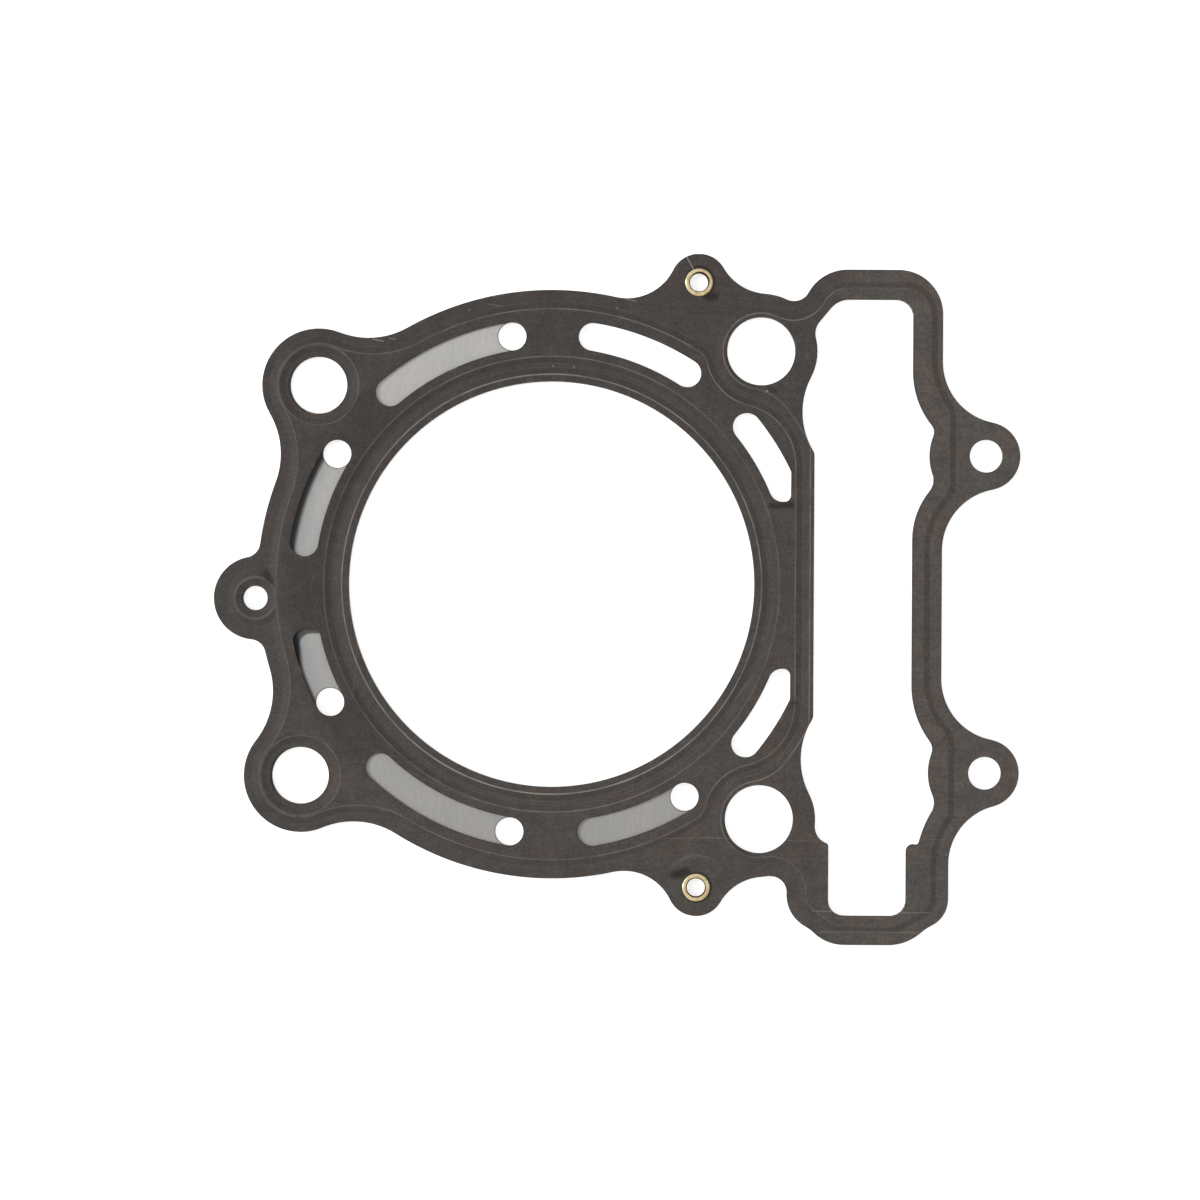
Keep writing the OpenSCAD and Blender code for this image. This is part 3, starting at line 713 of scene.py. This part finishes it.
def with_rubbed_and_highlit_crests(n, colour, place, x, y, radius, crest):
    """Crests are drawn light, partly as coating rubbed where it is stretched over the bend and partly as
    painted highlight, most beside the bore.
    """
    broken = n.spread(n.noise(place, *GAPS), 0.35, 0.62, 0.45, 1.0)
    beside_bore = n.product(
        n.spread(x, -55.0, 15.0, 0.45, 1.0),
        n.spread(x, 60.0, 52.0, 0.12, 1.0),
        n.spread(y, -55.0, -49.0, 0.25, 1.0))
    ring_right = n.product(
        n.spread(x, 5.0, 35.0),
        n.spread(radius, *BETWEEN_CRESTS),
        n.spread(radius, 47.0, 46.0),
        0.55)
    off_crest = n.math("ABSOLUTE", n.math("ADD", crest, 0.02))
    # Painted highlight on the crests, together with rubbed coating
    rubbed_and_highlit = n.product(n.spread(off_crest, 0.17, 0.05), broken, beside_bore, 0.62)
    colour = n.mix(n.product(rubbed_and_highlit, n.one_minus(ring_right)), colour, CREST_RUBBED_AND_HIGHLIT)
    # Painted highlight: the crest nearest the bore is the brightest, above all at the bottom
    bore_crest = n.product(
        n.spread(off_crest, 0.19, 0.06),
        n.one_minus(n.spread(radius, *BETWEEN_CRESTS)),
        n.spread(y, -35.0, -20.0, 0.60, 0.34),
        n.spread(x, 15.0, 35.0, 1.0, 0.55),
        broken)
    colour = n.mix(bore_crest, colour, CREST_BRIGHT)
    off_foot = n.math("ABSOLUTE", n.math("SUBTRACT", crest, SLOPE_MM))
    rubbed_foot = n.product(n.spread(off_foot, 0.20, 0.03), broken, beside_bore, 0.18)
    return n.mix(rubbed_foot, colour, FOOT_RUBBED)


def with_cut_rims(n, colour, rim, cloud):
    """Cut edges are dark, and here and there the coating has come off beside them."""
    colour = n.mix(n.product(n.spread(rim, 0.24, 0.03), 0.55), colour, RIM_DARK)
    worn = n.product(n.spread(rim, 0.34, 0.20), n.spread(cloud, 0.56, 0.66), 0.35)
    return n.mix(worn, colour, RIM_WORN)


def with_marks(n, colour, place, scratch, stain_and_shadow):
    """Fine handling scratches, long and thin, in two directions, then the stains and painted shadows, and
    the larger marks.
    """
    hair_a = n.noise(n.scaled(place, (0.10, 7.0, 1.0)), 0.6, 2.0, 0.5)
    hair_b = n.noise(n.scaled(place, (6.0, 0.12, 1.0)), 0.5, 2.0, 0.5)
    hair = n.math("ADD", n.spread(hair_a, 0.68, 0.74), n.spread(hair_b, 0.70, 0.76))
    colour = n.mix(n.product(hair, 0.14), colour, HAIRLINE)
    # Stains, and painted shadows beside the eyelets, the stud holes and the left hole
    colour = n.mix(n.product(stain_and_shadow, 0.95), colour, STAIN_AND_SHADOW)
    return n.mix(n.product(scratch, 0.75), colour, SCRATCH)


def coated_steel():
    """Matt rubber-coated steel, with rolling grain, turned marks round the bore, rubbed crests with a
    painted highlight, and painted light and shade across the part and on the slopes.
    """
    n = Nodes("coated_steel")
    place = n.millimetres()
    split = n.put("ShaderNodeSeparateXYZ", {0: place})
    x, y = split.outputs[0], split.outputs[1]
    radius = n.length(x, y)
    crest = n.attribute("crest")
    scratch = n.attribute("scratch")
    streak = coat_streaks(n, place, x, y, radius)
    cloud = n.noise(place, *CLOUD)
    grain = n.noise(place, *GRAIN)

    tone = n.product(
        n.spread(streak, 0.25, 0.75, 0.88, 1.12, False),
        n.spread(cloud, 0.35, 0.65, 0.88, 1.12, False),
        n.spread(grain, 0.36, 0.64, 0.77, 1.23, False),
        # Painted shade: darker towards the left, lighter towards the right
        n.spread(x, -60.0, 45.0, 0.77, 0.93, False),
        coat_tone_and_painted_light(n, x, y, radius),
        slope_painted_shade(n, x, crest))
    colour = n.mix(n.spread(n.noise(place, *BLOTCH), 0.36, 0.64), COAT_COOL, COAT_WARM)
    colour = n.toned(colour, tone)
    colour = with_rubbed_and_highlit_crests(n, colour, place, x, y, radius, crest)
    colour = with_cut_rims(n, colour, n.attribute("rim"), cloud)
    colour = with_marks(n, colour, place, scratch, n.attribute("stain_and_shadow"))

    n.surface("Base Color", colour)
    n.surface("Roughness", n.spread(cloud, 0.3, 0.7, 0.48, 0.58, False))
    n.surface("Specular IOR Level", 0.35)
    relief = n.math("ADD", n.product(grain, 0.6), n.product(streak, 0.8))
    relief = n.math("SUBTRACT", relief, n.product(scratch, 1.5))
    n.bump(relief, 0.25, 0.00003)
    return n.material


def cut_edge():
    """The sheared edge of a coated sheet, dark with a little bare steel."""
    n = Nodes("cut_edge")
    place = n.millimetres()
    bare = n.spread(n.noise(place, 1.3, 3.0, 0.7), 0.45, 0.62)
    n.surface("Base Color", n.mix(bare, CUT_DARK, CUT_BARE))
    n.surface("Metallic", 0.3)
    n.surface("Roughness", 0.5)
    return n.material


def with_slot_shadows(n, colour, split, radius):
    """The photograph has a deep shadow along the outer edge of the slots on the left, on the upper face.

    It narrows towards the foot of the lower slot, and it also lies along the top of that slot.
    """
    x, y, z = split.outputs
    left = n.product(n.spread(x, -37.0, -41.0), n.spread(z, 0.05, 0.20))
    inner_radius = n.math("SUBTRACT", radius, n.spread(y, -17.5, -12.0, 0.85, 0.0))
    soft = n.product(left, n.spread(inner_radius, 47.0, 50.0, 0.05, 0.24))
    colour = n.mix(soft, colour, SHADE)
    colour = n.mix(n.product(left, n.spread(inner_radius, 49.3, 50.3), 0.92), colour, SHADOW)
    # The lit part of the lower slot has a round upper left corner about this centre
    beyond = n.math("MAXIMUM", n.math("SUBTRACT", -46.2, x), 0.0)
    above = n.math("MAXIMUM", n.math("ADD", y, 12.0), 0.0)
    from_centre = n.length(beyond, above)
    slot_top = n.product(left, n.spread(from_centre, 2.05, 2.50), n.spread(y, 0.0, -4.0), 0.78)
    return n.mix(slot_top, colour, SHADOW)


def with_burrs(n, colour, flat):
    """A thin brown burr goes round each metering hole."""
    from_hole = FAR
    for angle in METERING_ANGLES:
        centre = (SLOT_CIRCLE_MM * math.cos(angle), SLOT_CIRCLE_MM * math.sin(angle), 0.0)
        from_hole = n.math("MINIMUM", from_hole, n.distance(flat, centre))
    burr = n.spread(from_hole, METERING_R_MM + 0.26, METERING_R_MM + 0.08)
    return n.mix(n.product(burr, 0.75), colour, BURR)


def bare_steel():
    """Satin stainless core with a fine rolled speckle."""
    n = Nodes("bare_steel")
    place = n.millimetres()
    split = n.put("ShaderNodeSeparateXYZ", {0: place})
    flat = n.scaled(place, (1.0, 1.0, 0.0))
    radius = n.distance(flat, (0.0, 0.0, 0.0))
    speckle = n.noise(place, 5.0, 3.0, 0.75)
    rolled = n.noise(n.scaled(place, (3.0, 0.25, 1.0)), 1.0, 3.0, 0.6)
    cloud = n.noise(place, 0.09, 2.0, 0.5)
    colour = n.mix(n.spread(speckle, 0.32, 0.68), STEEL_DARK, STEEL_LIGHT)
    colour = n.mix(n.product(n.spread(rolled, 0.4, 0.65), 0.30), colour, STEEL_ROLLED)
    colour = n.mix(n.product(n.spread(cloud, 0.4, 0.6), 0.25), colour, STEEL_COOL)
    # The steel is lit more brightly towards the top of the photograph
    colour = n.toned(colour, n.spread(split.outputs[1], -45.0, 45.0, 0.71, 0.94, False))
    colour = with_slot_shadows(n, colour, split, radius)
    colour = with_burrs(n, colour, flat)
    n.surface("Base Color", colour)
    n.surface("Metallic", 0.55)
    n.surface("Roughness", n.spread(speckle, 0.3, 0.7, 0.34, 0.48, False))
    n.bump(speckle, 0.3, 0.00002)
    return n.material


def pale_brass():
    """Rolled brass of the eyelets, half polished, brown where the rim turns into the hole, as tarnish and
    painted shade.
    """
    n = Nodes("pale_brass")
    place = n.millimetres()
    cloud = n.noise(place, 1.1, 3.0, 0.6)
    fine = n.noise(place, 7.0, 2.0, 0.6)
    tarnish_and_shade = n.attribute("tarnish_and_shade")
    colour = n.mix(n.spread(cloud, 0.35, 0.65), BRASS_DEEP, BRASS_PALE)
    n.surface("Base Color", n.mix(tarnish_and_shade, colour, BRASS_BROWN))
    n.surface("Metallic", 0.5)
    roughness = n.spread(fine, 0.3, 0.7, 0.30, 0.42, False)
    n.surface("Roughness", n.math("ADD", roughness, n.product(tarnish_and_shade, 0.4)))
    n.bump(cloud, 0.25, 0.00004)
    return n.material


def pale_floor():
    """Bright studio floor, lit a little from within, so that it stays white beside the part."""
    n = Nodes("pale_floor")
    n.surface("Base Color", (0.93, 0.93, 0.93, 1))
    n.surface("Roughness", 0.9)
    n.surface("Specular IOR Level", 0.1)
    n.surface("Emission Color", WHITE)
    n.surface("Emission Strength", 0.62)
    return n.material


# The part

def build_sheets():
    coat = coated_steel()
    edge = cut_edge()
    light_marks = (placed_lines(SCRATCHES), placed_arcs(LIGHT_ARCS))
    dark_marks = (placed_lines(STAINS_AND_SHADOWS), placed_arcs(DARK_ARCS))
    no_marks = ([], [])
    top = outer_sheet("outer_sheet_top", 1, light_marks, dark_marks)
    bottom = outer_sheet("outer_sheet_bottom", -1, no_marks, no_marks)
    for sheet in (top, bottom):
        sheet.data.materials.append(coat)
        sheet.data.materials.append(edge)


def dress_core():
    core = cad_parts["core_sheet"]
    steel = bare_steel()
    for slot in core.material_slots:
        slot.material = steel


def eyelet_profile():
    """Section of an eyelet with a rounded flange on both faces."""
    middle_r = (EYELET_BORE_MM + EYELET_FLANGE_MM) / 2
    half = (EYELET_FLANGE_MM - EYELET_BORE_MM) / 2
    rise = PLATEAU_MM - LOW_MM
    arch = [(middle_r - half * math.cos(a), LOW_MM + rise * math.sin(a) ** CROWN_POWER)
            for a in np.linspace(0, math.pi, CROWN_POINTS)]
    tube = [(EYELET_TUBE_MM, LOW_MM), (EYELET_TUBE_MM, -LOW_MM)]
    return arch + tube + [(r, -z) for r, z in reversed(arch)]


def brown_share(vertex, centre, width, extra):
    """How brown an eyelet is at a vertex, from 0 to 1."""
    across = vertex.co.x / MM - centre[0]
    up = vertex.co.y / MM - centre[1]
    wider = extra * max(0.0, math.cos(math.atan2(up, across) - BROWN_SIDE))
    into_edge = EYELET_BORE_MM + width + wider - math.hypot(across, up)
    return min(1.0, max(0.0, 0.5 + into_edge / BROWN_BLUR_MM))


def build_eyelets():
    brass = pale_brass()
    profile = eyelet_profile()
    for node, (width, extra) in BROWN_EDGES.items():
        low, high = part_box(node)
        centre = ((low[0] + high[0]) / 2 / MM, (low[1] + high[1]) / 2 / MM)
        eyelet = lathe(node + "_rolled", profile, centre)
        # Tarnish and painted shade where the rim turns into the hole
        tarnish_and_shade = [brown_share(vertex, centre, width, extra) for vertex in eyelet.data.vertices]
        add_attribute(eyelet.data, "tarnish_and_shade", tarnish_and_shade)
        eyelet.data.materials.append(brass)
        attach(eyelet, "root")
        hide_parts(node)


# The studio

def build_floor():
    low = cad_box[0][2]
    bpy.ops.mesh.primitive_plane_add(size=FLOOR_SIZE, location=(0, 0, low - FLOOR_GAP))
    floor = bpy.context.object
    floor.name = "studio_floor"
    floor.data.materials.append(pale_floor())


def build_lights():
    world = bpy.data.worlds.new("studio")
    world.use_nodes = True
    background = world.node_tree.nodes["Background"]
    background.inputs["Color"].default_value = WHITE
    background.inputs["Strength"].default_value = WORLD_STRENGTH
    bpy.context.scene.world = world

    lamp = bpy.data.lights.new("left_key", "AREA")
    lamp.shape = "DISK"
    lamp.size = KEY_SIZE
    lamp.energy = KEY_POWER
    key = bpy.data.objects.new("left_key", lamp)
    key.location = KEY_PLACE
    towards_part = -Vector(KEY_PLACE)
    key.rotation_euler = towards_part.to_track_quat("-Z", "Y").to_euler()
    bpy.context.collection.objects.link(key)


def build_camera():
    """Looks straight down, with the photograph's framing and turn."""
    centre = from_photo(PHOTO_SIZE / 2, PHOTO_SIZE / 2)
    shown = PHOTO_SIZE * MM_PER_PX * MM
    lens = bpy.data.cameras.new("photo_camera")
    lens.sensor_width = SENSOR_MM
    lens.lens = SENSOR_MM * CAMERA_DISTANCE / shown
    camera = bpy.data.objects.new("photo_camera", lens)
    camera.location = (centre[0] * MM, centre[1] * MM, CAMERA_DISTANCE + PLATEAU_MM * MM)
    camera.rotation_euler = (0, 0, PHOTO_TURN)
    bpy.context.collection.objects.link(camera)
    bpy.context.scene.camera = camera


build_sheets()
dress_core()
build_eyelets()
build_floor()
build_lights()
build_camera()
bpy.context.scene.view_settings.view_transform = "Standard"
